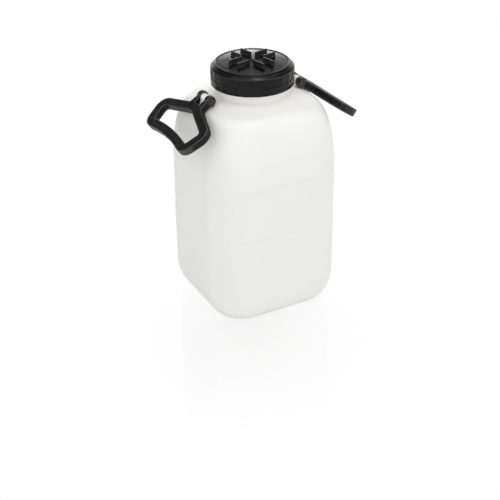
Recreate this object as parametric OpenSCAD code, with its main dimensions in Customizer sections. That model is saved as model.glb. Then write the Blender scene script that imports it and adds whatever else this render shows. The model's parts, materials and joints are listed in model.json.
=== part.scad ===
// Wide-neck square drum with a screw cap and two swing handles.
// Millimetres, +Z up. The origin is the centre of the base, and the two
// handles stand on the X axis, one on each side of the neck.

/* [Body] */
// Width of the square body across its flats
body_w = 250; // [230:1:320]
// Radius of the upright corners
corner_r = 69; // [60:1:80]
// Wall thickness of the moulded body
wall_t = 2.2; // [1.5:0.1:4]
// Height of the rounded foot
foot_h = 57; // [30:1:80]
// How far the foot draws in from the wall
foot_in = 43; // [20:1:50]
// Height at which the shoulder starts to draw in
shoulder_z = 182; // [160:1:240]
// Height of the top of the shoulder
shoulder_top = 393; // [370:1:450]
// How far the shoulder draws in from the wall to its top
shoulder_in = 58.6; // [52:0.1:64]
// Squareness of the shoulder curve, 2 is an ellipse
shoulder_power = 3.6; // [2:0.1:4]
// Lower edge of the recessed band
band_low = 174.5; // [120:0.5:200]
// Upper edge of the recessed band
band_high = 270.5; // [220:0.5:300]
// Depth of the recessed band
band_depth = 1; // [0.4:0.1:1.8]

/* [Neck] */
// Outer radius of the neck
neck_r = 64; // [58:0.5:66]
// Wall thickness of the neck
neck_t = 4.5; // [3:0.1:7]
// Radius of the fillet between shoulder and neck
neck_fillet = 12; // [4:0.5:14]
// Height of the neck rim above the shoulder
neck_h = 53; // [46:0.1:60]

/* [Thread] */
// Rise of the cap in one full turn
thread_lead = 12; // [10:0.5:14]
// Number of thread starts
thread_starts = 2; // [1:1:2]
// Turns made by each thread ridge
thread_turns = 0.9; // [0.5:0.1:1]
// Height of the thread ridges above their wall
thread_depth = 2; // [1.2:0.1:2.2]
// Thickness of a ridge at its root
thread_root = 3; // [2:0.1:3.4]
// Thickness of a ridge at its crest
thread_crest = 1.4; // [0.8:0.1:1.8]

/* [Cap] */
// Radial room between the neck and the bore of the cap
cap_gap = 3.2; // [2.8:0.1:4]
// Wall thickness of the skirt
skirt_t = 5; // [3.5:0.1:7]
// Height of the cap from skirt to rim
cap_h = 37.5; // [33:0.1:45]
// Thickness of the cap plate
plate_t = 3.7; // [2.5:0.1:5]
// Width and height of the chamfer on the rim
cap_chamfer = 8; // [2:0.1:9]
// Width of the flat rim on top of the cap
rim_w = 2; // [1:0.5:14]
// Depth of the plate below the rim
plate_drop = 1; // [0.5:0.1:2]
// Rise of the plate from its edge to its centre
plate_dome = 2.5; // [0:0.1:4]
// Number of grip panels round the skirt
panel_count = 24; // [16:1:30]
// Width of a grip panel
panel_w = 14; // [6:0.5:14]
// Height of a grip panel
panel_h = 15.2; // [8:0.1:18]
// Height of the plain band below the grip panels
panel_z = 13.3; // [8:0.1:14]
// Depth of a grip panel
panel_depth = 1.2; // [0.4:0.1:1.6]

/* [Cross grip] */
// Distance from the centre to the end of a grip arm
grip_r = 42.5; // [35:0.5:52]
// Distance from the middle of an arm to the middle of its walls
grip_offset = 10.5; // [7:0.5:14]
// Thickness of the grip walls
grip_t = 4.5; // [3:0.1:6]
// Height of the grip walls above the rim
grip_h = 9; // [6:0.1:14]
// Angle of the first arm round the cap
grip_turn = 12.5; // [0:0.5:45]
// Radius of the small boss at the centre
pip_r = 2.6; // [1.5:0.1:4]

/* [Seal] */
// Thickness of the seal ring
seal_t = 2.5; // [1.5:0.1:4]
// Width of the seal ring
seal_w = 8; // [5:0.1:9]

/* [Hinge] */
// Distance of each hinge axis in from the wall of the body
hinge_in = 36; // [32:0.1:40]
// Height of the hinge axes above the top of the shoulder
hinge_up = 10.2; // [10:0.1:14]
// Radius of the hinge pins
pin_r = 4; // [2.5:0.1:5]
// Radius of the pin heads and of the pin caps
head_r = 6.5; // [5.5:0.1:8]
// Thickness of the pin heads and of the pin caps
head_t = 2.6; // [1.5:0.1:4]
// Radius of the eye of a lug
eye_r = 7; // [6.5:0.1:9.5]
// Thickness of a lug
lug_w = 18; // [12:0.5:22]
// Spread of a lug's foot towards the neck
lug_spread_in = 3; // [0:0.5:5]
// Spread of a lug's foot towards the wall
lug_spread_out = 1.5; // [0:0.5:3]
// Depth of a lug's foot below the top of the shoulder
lug_depth = 21.2; // [16:0.1:26]
// Step from the back to the front of a pin head
head_taper = 0.8; // [0.2:0.1:1.5]

/* [Handle] */
// Angle of the handles below level, at rest
handle_tilt = 35; // [20:1:45]
// Thickness of a handle, across its plane
handle_t = 14.5; // [10:0.5:16]
// Width of a handle's bar, in its plane
bar_w = 16.5; // [10:0.5:18]
// Distance from the hinge to the middle of the bar at the yoke
yoke_u = 25.7; // [24:0.1:30]
// Half width of the flat of the yoke
yoke_v = 6.5; // [5:0.5:9]
// Distance from the hinge to the widest corners
wide_u = 50; // [46:0.5:55]
// Half width of the handle at its widest corners
wide_v = 81; // [72:0.5:85]
// Distance from the hinge to the grip corners
grip_u = 93; // [88:0.5:100]
// Half width of the handle at the grip corners
grip_v = 67.5; // [62:0.5:70]
// How far the middle of the grip bows in
grip_bow = 11; // [4:0.5:14]
// Bend radius of the bar at the yoke
yoke_bend = 9; // [8:0.5:12]
// Bend radius of the bar at the widest corners
wide_bend = 14; // [10:0.5:20]
// Bend radius of the bar at the grip corners
grip_bend = 13; // [10:0.5:18]
// Bend radius of the bar in the middle of the grip
bow_bend = 300; // [200:5:400]
// Radius of the knuckles
knuckle_r = 9.5; // [8.5:0.1:10]
// Thickness of the knuckles
knuckle_t = 9; // [4:0.1:10]
// Depth of the recess along the outside of the arms
pocket_depth = 2.5; // [1:0.1:4]
// Half width of the yoke that is left full between the recesses
pocket_from = 22; // [20:0.5:30]
// Thickness of the rib across the recess at each widest corner
rib_t = 3; // [1.5:0.1:5]
// Thickness of the flanges above and below the recess
flange_t = 2.5; // [1.5:0.1:4]

/* [Clearance] */
// Gap between faces that move past each other
face_gap = 0.3; // [0.2:0.05:0.6]
// Radial clearance of the hinge pins
pin_gap = 0.05; // [0.02:0.01:0.1]

/* [Hidden] */

$fn = 96;
half_w = body_w / 2;
over = 0.5;                       // how far a joined shape reaches into its neighbour

// Body
outer_steps = 9;                  // facets in a quarter turn of the outer corners
inner_steps = 6;                  // and of the inner ones
foot_steps = 7;                   // rings in the rounded foot
shoulder_step = 5.5;              // degrees between the rings of the shoulder
shoulder_end = 86;                // angle of the last ring of the shoulder
band_ramp = 2;                    // height of the band's sloping edges
top_r = half_w - shoulder_in;     // radius at the top of the shoulder

// Neck and cap, heights above the base
neck_top = shoulder_top + neck_h;
seal_z = neck_top + face_gap;
plate_under = seal_z + seal_t + face_gap;
cap_top = plate_under + plate_t + plate_drop;
cap_z = cap_top - cap_h;
cap_in_r = neck_r + cap_gap;
cap_r = cap_in_r + skirt_t;
rim_r = cap_r - cap_chamfer;
plate_r = rim_r - rim_w;
thread_pitch = thread_lead / thread_starts;
thread_z = cap_z + thread_root;   // lowest point of the cap's thread
thread_facets = 30;               // steps in a turn of the thread

// Hinges
hinge_x = half_w - hinge_in;
hinge_z = shoulder_top + hinge_up;
lug_half = lug_w / 2;
knuckle_v = lug_half + face_gap;  // inner face of a knuckle
head_v = knuckle_v + knuckle_t + face_gap;
bore_r = pin_r + pin_gap;

// Body: rings and the closed shape through them ---------------------------

// Share of the way from neck to wall that is left at a height on the shoulder
function shoulder_share(z, top) =
  let (s = min(1, max(0, (z - shoulder_z) / (top - shoulder_z))))
  pow(1 - pow(s, shoulder_power), 1 / shoulder_power);

function band_cut(z) = band_depth
  * max(0, min(1, (z - band_low + band_ramp) / band_ramp, (band_high + band_ramp - z) / band_ramp));

// A ring is [half width, corner radius, height]; inset is the depth below the skin
function foot_ring(t, inset) =
  let (cut = inset + foot_in * (1 - sin(t)))
  [half_w - cut, max(1, corner_r - cut), inset + (foot_h - inset) * (1 - cos(t))];

function wall_ring(z, inset) =
  let (
    share = shoulder_share(z, shoulder_top - inset),
    cut = inset + band_cut(z)
  )
  [top_r + (half_w - top_r) * share - cut, top_r + (corner_r - top_r) * share - cut, z];

function shoulder_rings(inset) =
  [for (t = [shoulder_step : shoulder_step : shoulder_end])
    let (z = shoulder_z + (shoulder_top - inset - shoulder_z) * pow(sin(t), 2 / shoulder_power))
    if (z > band_high + 2 * band_ramp) wall_ring(z, inset)];

function body_rings(inset) = concat(
  [for (i = [0 : foot_steps]) foot_ring(90 * i / foot_steps, inset)],
  [for (z = [band_low - band_ramp, band_low, (band_low + band_high) / 2, band_high, band_high + band_ramp])
    wall_ring(z, inset)],
  shoulder_rings(inset)
);

function ring_points(ring, steps) =
  [for (quarter = [0 : 3]) for (i = [0 : steps])
    let (
      t = 90 * (quarter + i / steps),
      side_x = quarter == 0 || quarter == 3 ? 1 : -1,
      side_y = quarter < 2 ? 1 : -1,
      reach = ring[0] - ring[1]
    )
    [side_x * reach + ring[1] * cos(t), side_y * reach + ring[1] * sin(t), ring[2]]];

module ring_solid(rings, steps) {
  n = 4 * (steps + 1);
  last = len(rings) - 1;
  polyhedron(
    points = [for (ring = rings) each ring_points(ring, steps)],
    faces = concat(
      [[for (j = [0 : n - 1]) j]],
      [for (i = [0 : last - 1]) for (j = [0 : n - 1])
        let (k = (j + 1) % n)
        [i * n + j, (i + 1) * n + j, (i + 1) * n + k, i * n + k]],
      [[for (j = [n - 1 : -1 : 0]) last * n + j]]
    ),
    convexity = 4
  );
}

// A helical ridge from root_r to crest_r, its start at height z and angle turn
module thread_ridge(root_r, crest_r, z, turn) {
  steps = round(thread_turns * thread_facets);
  root = thread_root / 2;
  crest = thread_crest / 2;
  profile = [[root_r, -root], [crest_r, -crest], [crest_r, crest], [root_r, root]];
  ordered = crest_r > root_r ? profile : [profile[1], profile[0], profile[3], profile[2]];
  polyhedron(
    points = [for (i = [0 : steps])
      let (t = 360 * i / thread_facets)
      each [for (p = ordered)
        [p[0] * cos(t + turn), p[0] * sin(t + turn), z + p[1] + thread_lead * t / 360]]],
    faces = concat(
      [[3, 2, 1, 0]],
      [for (i = [0 : steps - 1]) for (j = [0 : 3])
        let (k = (j + 1) % 4)
        [i * 4 + j, i * 4 + k, (i + 1) * 4 + k, (i + 1) * 4 + j]],
      [[for (j = [0 : 3]) steps * 4 + j]]
    ),
    convexity = 4
  );
}

module thread(root_r, crest_r, z) {
  for (i = [0 : thread_starts - 1])
    thread_ridge(root_r, crest_r, z, 360 * i / thread_starts);
}

module neck_wall() {
  rotate_extrude() {
    translate([neck_r - neck_t, shoulder_top - wall_t])
      square([neck_t, neck_h + wall_t]);
    difference() {
      translate([neck_r - over, shoulder_top - wall_t / 2])
        square([neck_fillet + over, neck_fillet + wall_t / 2]);
      translate([neck_r + neck_fillet, shoulder_top + neck_fillet])
        circle(r = neck_fillet);
    }
  }
}

// A lug stands on the shoulder and carries a hinge pin across the X axis
module lug() {
  foot_drop = hinge_up + lug_depth;
  translate([hinge_x, lug_half, hinge_z])
    rotate([90, 0, 0])
      linear_extrude(height = lug_w) {
        circle(r = eye_r);
        polygon([
          [-eye_r, 0], [eye_r, 0],
          [eye_r + lug_spread_out, -foot_drop], [-eye_r - lug_spread_in, -foot_drop]
        ]);
      }
}

module hinge_bore(length) {
  translate([hinge_x, length / 2, hinge_z])
    rotate([90, 0, 0])
      cylinder(r = bore_r, h = length);
}

module both_sides() {
  children();
  mirror([1, 0, 0]) children();
}

module body() {
  color([0.93, 0.93, 0.91])
    difference() {
      union() {
        ring_solid(body_rings(0), outer_steps);
        neck_wall();
        both_sides() lug();
        thread(neck_r - over, neck_r + thread_depth, thread_z + thread_pitch / 2);
      }
      ring_solid(body_rings(wall_t), inner_steps);
      translate([0, 0, shoulder_top - 3 * wall_t])
        cylinder(r = neck_r - neck_t, h = neck_h + 4 * wall_t);
      both_sides() hinge_bore(lug_w + 2);
    }
}

// Cap -----------------------------------------------------------------------

function dome_z(r) = cap_top - plate_drop + plate_dome * (1 - pow(r / plate_r, 2));

module cap_shell() {
  dome_steps = 8;
  rotate_extrude()
    polygon(concat(
      [
        [cap_in_r, cap_z], [cap_r, cap_z],
        [cap_r, cap_top - cap_chamfer], [rim_r, cap_top],
        [plate_r + plate_drop, cap_top]
      ],
      [for (i = [0 : dome_steps]) let (r = plate_r * (1 - i / dome_steps)) [r, dome_z(r)]],
      [[0, plate_under], [cap_in_r, plate_under]]
    ));
}

module grip_panels() {
  for (i = [0 : panel_count - 1])
    rotate(360 * (i + 0.5) / panel_count)
      translate([cap_r - panel_depth, -panel_w / 2, cap_z + panel_z])
        cube([2 * panel_depth, panel_w, panel_h]);
}

// Two walls at a right angle, one from each of two neighbouring arms
module grip_corner() {
  low = cap_top - plate_drop - over;
  high = cap_top + grip_h;
  wall = grip_r - grip_t / 2 - grip_offset;
  for (flip = [0, 1])
    mirror([flip, -flip, 0])
      translate([grip_offset, grip_offset - grip_t / 2, low]) {
        cube([wall, grip_t, high - low]);
        translate([wall, grip_t / 2, 0]) cylinder(r = grip_t / 2, h = high - low);
      }
  translate([grip_offset, grip_offset, low])
    cylinder(r = grip_t / 2, h = high - low);
}

module screw_cap() {
  color([0.10, 0.10, 0.11])
    union() {
      difference() {
        cap_shell();
        grip_panels();
      }
      for (i = [0 : 3]) rotate(grip_turn + 90 * i) grip_corner();
      translate([0, 0, cap_top - plate_drop]) cylinder(r = pip_r, h = plate_dome + pip_r);
      thread(cap_in_r + over, cap_in_r - thread_depth, thread_z);
    }
}

module cap_seal() {
  color([0.35, 0.35, 0.34])
    translate([0, 0, seal_z])
      difference() {
        cylinder(r = cap_in_r - face_gap, h = seal_t);
        translate([0, 0, -1]) cylinder(r = cap_in_r - face_gap - seal_w, h = seal_t + 2);
      }
}

// Handles: u runs out from the hinge, v along it ---------------------------

// Corners of the middle line of the bar, as [u, v, bend radius]
bar_corners = [
  [yoke_u, -yoke_v, yoke_bend], [wide_u, -wide_v, wide_bend], [grip_u, -grip_v, grip_bend],
  [grip_u - grip_bow, 0, bow_bend],
  [grip_u, grip_v, grip_bend], [wide_u, wide_v, wide_bend], [yoke_u, yoke_v, yoke_bend]
];

function unit(v) = v / norm(v);
function plan(p) = [p[0], p[1]];
function turned(v) = [v[1], -v[0]];

// Points of the bend at corner i of the closed path, from one tangent point to the other
function bend(path, i, steps) =
  let (
    n = len(path),
    here = plan(path[i]),
    before = unit(plan(path[(i + n - 1) % n]) - here),
    after = unit(plan(path[(i + 1) % n]) - here),
    half = acos(before * after) / 2,
    radius = path[i][2],
    middle = here + unit(before + after) * radius / sin(half),
    first = here + before * radius / tan(half) - middle,
    side = cross(before, after) < 0 ? 1 : -1,
    sweep = 180 - 2 * half
  )
  [for (k = [0 : steps])
    let (t = side * sweep * k / steps)
    middle + [first[0] * cos(t) - first[1] * sin(t), first[0] * sin(t) + first[1] * cos(t)]];

bar_path = [for (i = [0 : len(bar_corners) - 1]) each bend(bar_corners, i, 6)];

// The same path moved out by d
function moved(path, d) =
  let (n = len(path))
  [for (i = [0 : n - 1])
    let (
      a = unit(path[i] - path[(i + n - 1) % n]),
      b = unit(path[(i + 1) % n] - path[i]),
      out = unit(turned(a) + turned(b))
    )
    path[i] + out * d / (out * turned(a))];

// Recess along the outside of both arms, from the yoke round the widest corner,
// where a rib crosses it, to the start of the grip corner
module side_recess() {
  corner = plan(bar_corners[5]);
  inward = unit(unit(plan(bar_corners[4]) - corner) + unit(plan(bar_corners[6]) - corner));
  rib_angle = atan2(inward[1], inward[0]);
  linear_extrude(height = handle_t - 2 * flange_t, center = true, convexity = 4)
    difference() {
      polygon(moved(bar_path, bar_w / 2 + over));
      polygon(moved(bar_path, bar_w / 2 - pocket_depth));
      translate([0, -pocket_from]) square([grip_u, 2 * pocket_from]);
      translate([grip_u - grip_bend, -wide_v]) square([grip_bend + bar_w, 2 * wide_v]);
      for (side = [-1, 1])
        translate([corner[0], side * corner[1]])
          rotate(side * rib_angle)
            square([2 * bar_w, rib_t], center = true);
    }
}

// A fork arm runs from the yoke to its knuckle
module fork_arm() {
  translate([0, knuckle_v, 0]) {
    rotate([-90, 0, 0]) cylinder(r = knuckle_r, h = knuckle_t);
    translate([0, 0, -handle_t / 2]) cube([yoke_u, knuckle_t, handle_t]);
  }
}

// The handle lies in its own plane here, with its hinge axis on Y
module flat_handle() {
  difference() {
    union() {
      translate([0, 0, -handle_t / 2])
        linear_extrude(height = handle_t, convexity = 4)
          difference() {
            polygon(moved(bar_path, bar_w / 2));
            polygon(moved(bar_path, -bar_w / 2));
          }
      fork_arm();
      mirror([0, 1, 0]) fork_arm();
    }
    side_recess();
    translate([0, head_v + 1, 0]) rotate([90, 0, 0]) cylinder(r = bore_r, h = 2 * head_v + 2);
  }
}

module handle() {
  color([0.11, 0.11, 0.12])
    translate([hinge_x, 0, hinge_z])
      rotate([0, handle_tilt, 0])
        flat_handle();
}

// Hinge pins: the head is towards -Y, the pin cap is pressed on at +Y -------

module hinge_pin() {
  tip = head_v + head_t;
  color([0.24, 0.24, 0.24])
    translate([hinge_x, 0, hinge_z])
      rotate([90, 0, 0])
        union() {
          translate([0, 0, -tip]) cylinder(r = pin_r, h = 2 * tip - head_t + over);
          translate([0, 0, head_v]) cylinder(r1 = head_r, r2 = head_r - head_taper, h = head_t);
        }
}

module pin_cap() {
  color([0.24, 0.24, 0.24])
    translate([hinge_x, head_v + head_t, hinge_z])
      rotate([90, 0, 0])
        difference() {
          cylinder(r1 = head_r - head_taper, r2 = head_r, h = head_t);
          translate([0, 0, -1]) cylinder(r = bore_r, h = head_t + 2);
        }
}

module left_handle() { mirror([1, 0, 0]) handle(); }
module right_handle() { handle(); }
module left_hinge_pin() { mirror([1, 0, 0]) hinge_pin(); }
module right_hinge_pin() { hinge_pin(); }
module left_pin_cap() { mirror([1, 0, 0]) pin_cap(); }
module right_pin_cap() { pin_cap(); }

body();
screw_cap();
cap_seal();
left_handle();
right_handle();
left_hinge_pin();
right_hinge_pin();
left_pin_cap();
right_pin_cap();
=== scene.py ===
"""Looks of a wide-neck square drum with a screw cap and two swing handles.

Lengths of the drum are in millimetres, in the frame of the CAD part, and
new_object() turns them into Blender's metres. Lengths of the studio are in
metres. The pieces replace the plain CAD solids one for one and ride on the
same bodies.
"""
import json
from math import cos, pi, radians, sin, sqrt, tan

import bpy
import bmesh
from mathutils import Matrix, Vector


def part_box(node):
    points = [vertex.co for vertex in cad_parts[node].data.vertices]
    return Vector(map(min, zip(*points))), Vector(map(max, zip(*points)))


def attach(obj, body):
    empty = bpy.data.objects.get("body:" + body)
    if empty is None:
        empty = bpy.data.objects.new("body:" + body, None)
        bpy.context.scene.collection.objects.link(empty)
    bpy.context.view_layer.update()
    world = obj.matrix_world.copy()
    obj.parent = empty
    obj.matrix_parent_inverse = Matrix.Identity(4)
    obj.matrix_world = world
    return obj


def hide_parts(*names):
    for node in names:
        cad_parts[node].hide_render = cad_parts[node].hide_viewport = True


MM = 0.001
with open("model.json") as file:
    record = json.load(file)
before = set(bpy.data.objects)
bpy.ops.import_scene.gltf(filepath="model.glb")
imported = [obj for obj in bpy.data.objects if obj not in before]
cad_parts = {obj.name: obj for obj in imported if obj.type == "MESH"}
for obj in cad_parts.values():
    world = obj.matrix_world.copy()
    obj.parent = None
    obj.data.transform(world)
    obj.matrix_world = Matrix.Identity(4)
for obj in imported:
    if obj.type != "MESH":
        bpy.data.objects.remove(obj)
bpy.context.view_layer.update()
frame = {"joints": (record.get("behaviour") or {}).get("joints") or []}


# ------------------------ dimensions

def node_box(node):
    """Lowest and highest corner of a CAD node, in millimetres."""
    low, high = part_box(node)
    return Vector(low) / MM, Vector(high) / MM


body_high = node_box("body")[1]
cap_low, cap_high = node_box("screw_cap")
seal_low, seal_high = node_box("cap_seal")
pin_low = node_box("right_hinge_pin")[0]

# Drum
HALF_W = body_high.x
CORNER_R = 69
WALL = 2.2
FOOT_H = 57  # the sides curve in below this height
FOOT_IN = 43  # and reach this far in at the base
SHOULDER_Z = 182  # where the shoulder's curve starts
SHOULDER_TOP = 393
SHOULDER_POWER = 3.6  # squareness of that curve
BAND_LOW = 174.5
BAND_HIGH = 270.5
BAND_DEPTH = 0.75
BAND_RAMP = 4.5
BASE_DISH = 3.0
# Half width, corner radius and share of the dish
BASE_RINGS = ((20, 6, 1.0), (58, 15, 1.0), (70, 19, 0.7), (77, 22, 0.15))
INNER_FLOOR = (60, 16)  # half width and corner radius
NECK_R = 64
NECK_T = 4.5
NECK_FILLET = 12
NECK_TOP = body_high.z
LIP_R = 1.3
BORE_FILLET = 5
TOP_R = NECK_R + 2.4  # radius at which the shoulder's curve ends

# Cap
CAP_R = cap_high.x
CAP_IN_R = CAP_R - 5
CAP_Z = cap_low.z
CAP_H = 37.5  # up to the rim; the grip walls stand higher
CAP_TOP = CAP_Z + CAP_H
SKIRT_EDGES = (0.8, 1.0)  # radii of the inner and the outer edge at the foot
CHAMFER = 8
CHAMFER_EDGE = 1.6
CHAMFER_STEP = ((0.2, -0.9), (-0.3, -0.3))  # out and up from the chamfer's middle
RIM_R = CAP_R - CHAMFER
RIM_EDGE = 1.2
FINE_EDGE = 0.5
PLATE_R = RIM_R - 2
PLATE_SLOPE = 0.6  # how far the rim's inner side leans out
PLATE_DROP = 1.0  # from the rim down to the edge of the plate
PLATE_DOME = 2.5
PLATE_T = 3.7
PLATE_UNDER = CAP_TOP - PLATE_DROP - PLATE_T
UNDER_EDGE = 1.0
PANELS = 24
PANEL_W = 14
PANEL_Z = 13.3  # above the foot of the skirt
PANEL_H = 15.2
PANEL_DEPTH = 1.2
PANEL_EDGE = 0.35
SKIN_MARGIN = 0.01  # points further in than this aren't on the skirt's outside
GRIP_R = 42.5  # from the axis to the outer ends of the grip walls
GRIP_START = 15.5  # and to their inner ends
GRIP_OFFSET = 10.5  # from the middle of the cross's arm to a wall
GRIP_T = 4.5
GRIP_TOP = cap_high.z
GRIP_ROUND = 1.5
GRIP_SINK = 2.5  # how far the walls reach down into the plate
GRIP_FLARE = ((0.9, -0.1), (0.35, 0.25), (0.05, 0.9))  # out from a wall, up from the plate
GRIP_TURN = 12.5  # degrees
PIP_R = 2.6
PIP_SINK = 1.5
PIP_FLARE = 0.6
PIP_EDGE = 0.5

# Threads
LEAD = 12
STARTS = 2
THREAD_TURNS = 0.9
THREAD_DEPTH = 2
THREAD_ROOT = 3
THREAD_CREST = 1.4
CREST_NARROW = 0.7  # share of the crest's width at the tip
CREST_WIDE = 1.3  # and a third of the way down the flank
RUN_OUT = 0.06  # share of a ridge over which each end fades
RUN_OUT_SIZE = 0.25  # size of a ridge at its very end
THREAD_SINK = 0.4  # how far a ridge starts inside its wall
THREAD_Z = CAP_Z + THREAD_ROOT

# Hinges
HINGE = next(j for j in frame["joints"] if j["name"] == "right_swing")["pos_m"]
HINGE_X = HINGE[0] / MM
HINGE_Z = HINGE[2] / MM
EYE_R = 7
LUG_HALF = 9  # half of a lug's length along the hinge
LUG_EDGE = 1.4
LUG_FLARE = 9
LUG_SINK = 16  # how far a lug reaches down into the shoulder
# Out from the eye and down from the shoulder's top, where each foot starts and ends
LUG_INNER_FOOT = ((0.5, 0.5), (11, 2))
LUG_OUTER_FOOT = ((1.5, 3), (15, 6.5))
FACE_GAP = 0.3  # between lug and knuckle
KNUCKLE_R = 9.5
KNUCKLE_T = 9
KNUCKLE_V = LUG_HALF + FACE_GAP  # where a knuckle starts along the hinge
KNUCKLE_BORE = 0.5  # wider than the pin
KNUCKLE_GROOVE = (2.4, 3.6)  # from the knuckle's outer face
KNUCKLE_GROOVE_DEPTH = 0.7

# Handles: places are (out from the hinge, along the hinge), in the handle's own plane
HANDLE_TILT = 35  # degrees below level
HANDLE_T = 14.5
BAR_W = 16.5
BAR_EDGE = 2.0
YOKE = (25.7, 6.5)
WIDE = (50, 81)
GRIP = (93, 67.5)
BEND_RADII = (9, 14, 13)  # at those three corners
GRIP_BOW = 11  # how far the middle of the grip bows back
BOW_R = 300
RECESS_DEPTH = 2.5
RECESS_FROM = 22  # along the hinge
RECESS_TO = 80  # out from it
RECESS_FLANGE = 2.7  # width of the rims beside the recess
RECESS_SOFT = 0.5
FLANGE_SOFT = 0.4
RIB_T = 3
RIB_SOFT = 0.4
GROOVE_PITCH = 2.6
GROOVE_DEPTH = 0.55
GROOVE_REACH = 4.6  # from the bar's middle line
GROOVE_BOW = (4, 2)  # short of the bow, where the grooves start and where they are whole
GROOVE_END = (16, 11)  # short of the grip's corners, where they fade and where they end
# Place along a fork's arm; how much thinner, and wider inwards and outwards, it is there
FORK_STATIONS = ((6.5, 0.35, 0, 0), (12, 0, 0, 0), (18, 0, 0, 0.4), (22, 0, 3.5, 1.5),
                 (26, 0.3, 6, 1.5))

# Pins and seal
PIN_R = 4
PIN_EDGE = 0.5
TIP_V = -pin_low.y  # half of the pin's length
HEAD_T = 2.6
HEAD_V = TIP_V - HEAD_T
HEAD_R = 6.5
HEAD_EDGE = 0.9
HEAD_IN = 0.2  # how far the head narrows towards its face
MARK_R = (3.0, 3.9)  # the ring mark in a pin's head
MARK_DRAFT = 0.2
MARK_DEPTH = 0.5
MARK_EDGE = 0.15
PIN_CAP_GAP = 0.05
PIN_CAP_EDGE = 0.3
SEAL_W = 8
SEAL_EDGE = 0.7

# Fineness of the meshes: counts, steps and places of rows
RING = 216  # points round a ring of the drum
OUTER_STEPS = 22  # rows of the rounded foot, and half of the shoulder's, outside
INNER_STEPS = 12  # and inside
WALL_STEP = 12
FOOT_GAP = 8  # from the foot to the wall's first row
BAND_STEPS = 6
SHOULDER_FROM = 10  # degrees of the shoulder's curve at its first row
SHOULDER_SWEEP = 68
BLEND_STEPS = 12
LIP_FROM = 20  # from the shoulder's top to the lip's first row
TURN_STEPS = 96  # in a full turn of a thread
CAP_COLUMNS = PANELS * 20
SKIRT_ROWS = (4, 7, 10, 17, 21, 25)  # above the foot of the skirt, outside
SKIRT_INNER_ROWS = (4, 20)  # and inside
PLATE_ROWS = (54, 48, 40, 32, 24, 16, 8, 0)  # radii on the plate
UNDER_ROWS = (0, 30, 50)  # and under it
GRIP_ENDS = (88, 75, 60, 45, 30, 15)  # degrees round the end of a grip wall
GRIP_STEPS = 6
BEND_STEPS = 24
BAR_STEP = 0.9
SECTION_STEP = 0.7
VOXEL = 0.6


# ------------------------ mesh tools

MERGE_DISTANCE = 1e-7  # in metres
ON_AXIS = 1e-6  # a point nearer to the axis than this lies on it
MITRE_LIMIT = 0.3


def scene_object(name, data):
    """An object that puts a mesh, a light or a camera into the scene."""
    obj = bpy.data.objects.new(name, data)
    bpy.context.scene.collection.objects.link(obj)
    return obj


def new_object(name, verts, faces):
    """A smooth-shaded object from vertices in millimetres, its normals outward."""
    mesh = bpy.data.meshes.new(name)
    mesh.from_pydata([tuple(c * MM for c in v) for v in verts], [], faces)
    work = bmesh.new()
    work.from_mesh(mesh)
    bmesh.ops.remove_doubles(work, verts=work.verts, dist=MERGE_DISTANCE)
    bmesh.ops.recalc_face_normals(work, faces=work.faces)
    work.to_mesh(mesh)
    work.free()
    mesh.polygons.foreach_set("use_smooth", [True] * len(mesh.polygons))
    return scene_object(name, mesh)


def rows_object(name, rows, end_caps=False, join_rows=False):
    """Faces between rows of points. A row with one point is a pole."""
    verts, starts = [], []
    for row in rows:
        starts.append(len(verts))
        verts.extend(row)
    faces = []
    pairs = list(zip(range(len(rows) - 1), range(1, len(rows))))
    if join_rows:
        pairs.append((len(rows) - 1, 0))
    for a, b in pairs:
        count = max(len(rows[a]), len(rows[b]))
        for j in range(count):
            k = (j + 1) % count
            if len(rows[a]) == 1:
                faces.append((starts[a], starts[b] + j, starts[b] + k))
            elif len(rows[b]) == 1:
                faces.append((starts[a] + j, starts[b], starts[a] + k))
            else:
                faces.append((starts[a] + j, starts[b] + j, starts[b] + k, starts[a] + k))
    if end_caps:
        for start, row in ((starts[0], rows[0]), (starts[-1], rows[-1])):
            faces.append(tuple(range(start, start + len(row))))
    return new_object(name, verts, faces)


def unit(vector):
    return vector / vector.length if vector.length else vector


def rounded(corners, steps=5, closed=True):
    """Points of a path of (x, y, radius) corners, with each corner rounded."""
    out = []
    last = len(corners) - 1
    for i, (x, y, radius) in enumerate(corners):
        here = Vector((x, y))
        if radius == 0 or (not closed and i in (0, last)):
            out.append(here)
            continue
        before = unit(Vector(corners[i - 1][:2]) - here)
        after = unit(Vector(corners[(i + 1) % len(corners)][:2]) - here)
        half = before.angle(after) / 2
        middle = here + unit(before + after) * radius / sin(half)
        first = here + before * radius / tan(half) - middle
        side = 1 if before.x * after.y - before.y * after.x < 0 else -1
        sweep = pi - 2 * half
        for k in range(steps + 1):
            t = side * sweep * k / steps
            turned = Vector((first.x * cos(t) - first.y * sin(t),
                             first.x * sin(t) + first.y * cos(t)))
            out.append(middle + turned)
    return out


def normals(path):
    """Outward normals of a closed path that runs anticlockwise, scaled for mitres."""
    out = []
    for i, here in enumerate(path):
        before = unit(here - path[i - 1])
        after = unit(path[(i + 1) % len(path)] - here)
        outward = Vector((before.y, -before.x))
        middle = unit(outward + Vector((after.y, -after.x)))
        out.append(middle / max(MITRE_LIMIT, middle.dot(outward)))
    return out


def moved(path, distance):
    """A closed path moved outwards."""
    return [p + n * distance for p, n in zip(path, normals(path))]


def evenly(path, step):
    """Points at an even step along a closed path."""
    lengths = [(path[(i + 1) % len(path)] - p).length for i, p in enumerate(path)]
    total = sum(lengths)
    count = round(total / step)
    out, i, done = [], 0, 0.0
    for k in range(count):
        target = total * k / count
        while done + lengths[i] < target:
            done += lengths[i]
            i += 1
        share = (target - done) / lengths[i] if lengths[i] else 0
        out.append(path[i].lerp(path[(i + 1) % len(path)], share))
    return out


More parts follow.
